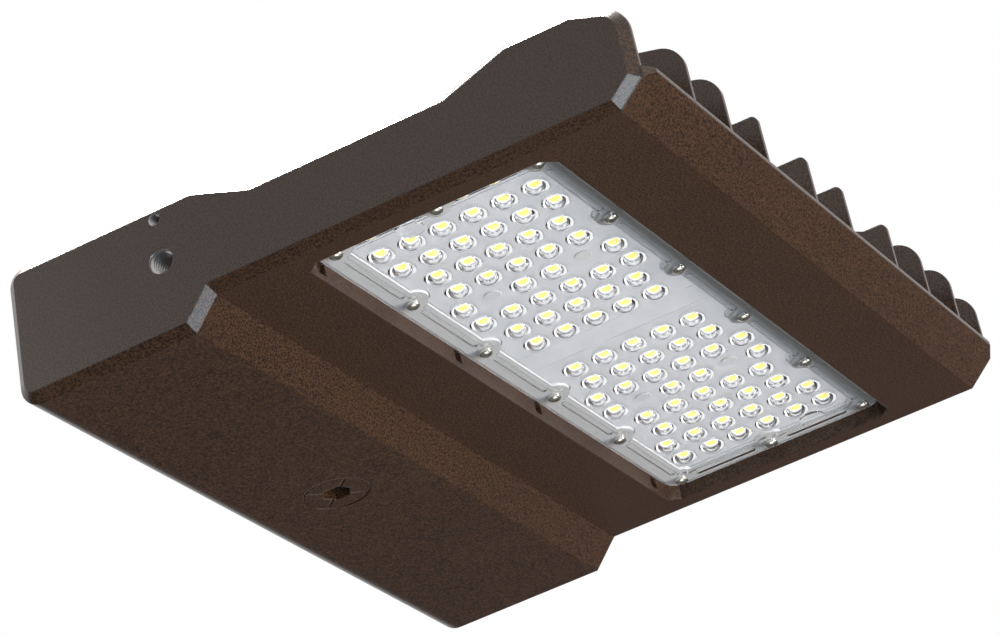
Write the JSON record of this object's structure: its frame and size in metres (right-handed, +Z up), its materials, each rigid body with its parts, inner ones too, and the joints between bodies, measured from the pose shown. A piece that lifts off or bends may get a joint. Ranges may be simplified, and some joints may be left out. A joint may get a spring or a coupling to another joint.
{
  "type": "flood light",
  "caption": "Wide, low outdoor LED flood light head with a finned cast housing, clear optic panel, rear driver box with lift-off cover, screw-in sensor port plug and side pivot threads.",
  "frame": {"origin": "middle of the tilt axis, halfway between the two coaxial pivot threads in the side walls", "axes": "+X from the driver box towards the finned front edge, +Y along the tilt axis from the near side wall to the far one, +Z up, away from the lit side"},
  "size_m": [0.2685, 0.33, 0.0571],
  "materials": {
    "powder_coat": "fine textured dark bronze powder coat",
    "plug_metal": "fine textured dark bronze powder coat",
    "clear_lens": "clear polycarbonate, moulded gloss",
    "board_white": "white solder mask",
    "led_package": "white package with yellow phosphor",
    "bright_screw": "polished stainless steel",
    "plated_screw": "plain stainless steel",
    "seal_silicone": "grey silicone",
    "sheet_metal": "zinc-plated sheet",
    "driver_case": "satin extruded aluminium",
    "moulded_black": "fine moulded texture",
    "moulded_white": "fine moulded texture",
    "wire_black": "smooth insulation",
    "wire_green": "smooth insulation",
    "ground_brass": "turned brass",
    "thermal_pad": "soft filled pad"
  },
  "bodies": {
    "head": {"housing": "powder_coat", "driver_bracket": "sheet_metal", "led_driver": "driver_case", "surge_protector": "moulded_black", "terminal_block": "moulded_white", "chassis_screws": "plated_screw", "ground_wire": "wire_green", "ground_screw": "ground_brass", "line_wires": "wire_black", "dc_leads": "wire_black", "wireway_grommet": "seal_silicone", "breather_vent": "moulded_black", "thermal_pad_near": "thermal_pad", "thermal_pad_far": "thermal_pad", "led_board_near": "board_white", "led_board_far": "board_white", "link_board": "board_white", "leds_near": "led_package", "leds_far": "led_package", "board_rivets": "moulded_white", "lens_gasket": "seal_silicone", "lens_panel": "clear_lens", "lens_screws": "bright_screw"},
    "cover": {"driver_cover": "powder_coat", "cover_gasket": "seal_silicone", "cover_screws": "plated_screw"},
    "plug_carrier": {"plug_seal": "seal_silicone"},
    "plug": {"sensor_plug": "plug_metal"}
  },
  "joints": [
    {"name": "cover_lift", "type": "slide", "parent": "head", "child": "cover", "axis": [0, 0, 1], "range_m": [0, 0.04]},
    {"name": "plug_travel", "type": "slide", "parent": "head", "child": "plug_carrier", "axis": [0, 0, -1], "range_m": [0, 0.0115]},
    {"name": "plug_turn", "type": "hinge", "parent": "plug_carrier", "child": "plug", "pos_m": [-0.0283, 0, -0.03185], "axis": [0, 0, -1], "range_deg": [0, 2520]}
  ],
  "couplings": [
    {"joint": "plug_travel", "follows": "plug_turn", "m_per_rad": 0.00023873}
  ]
}
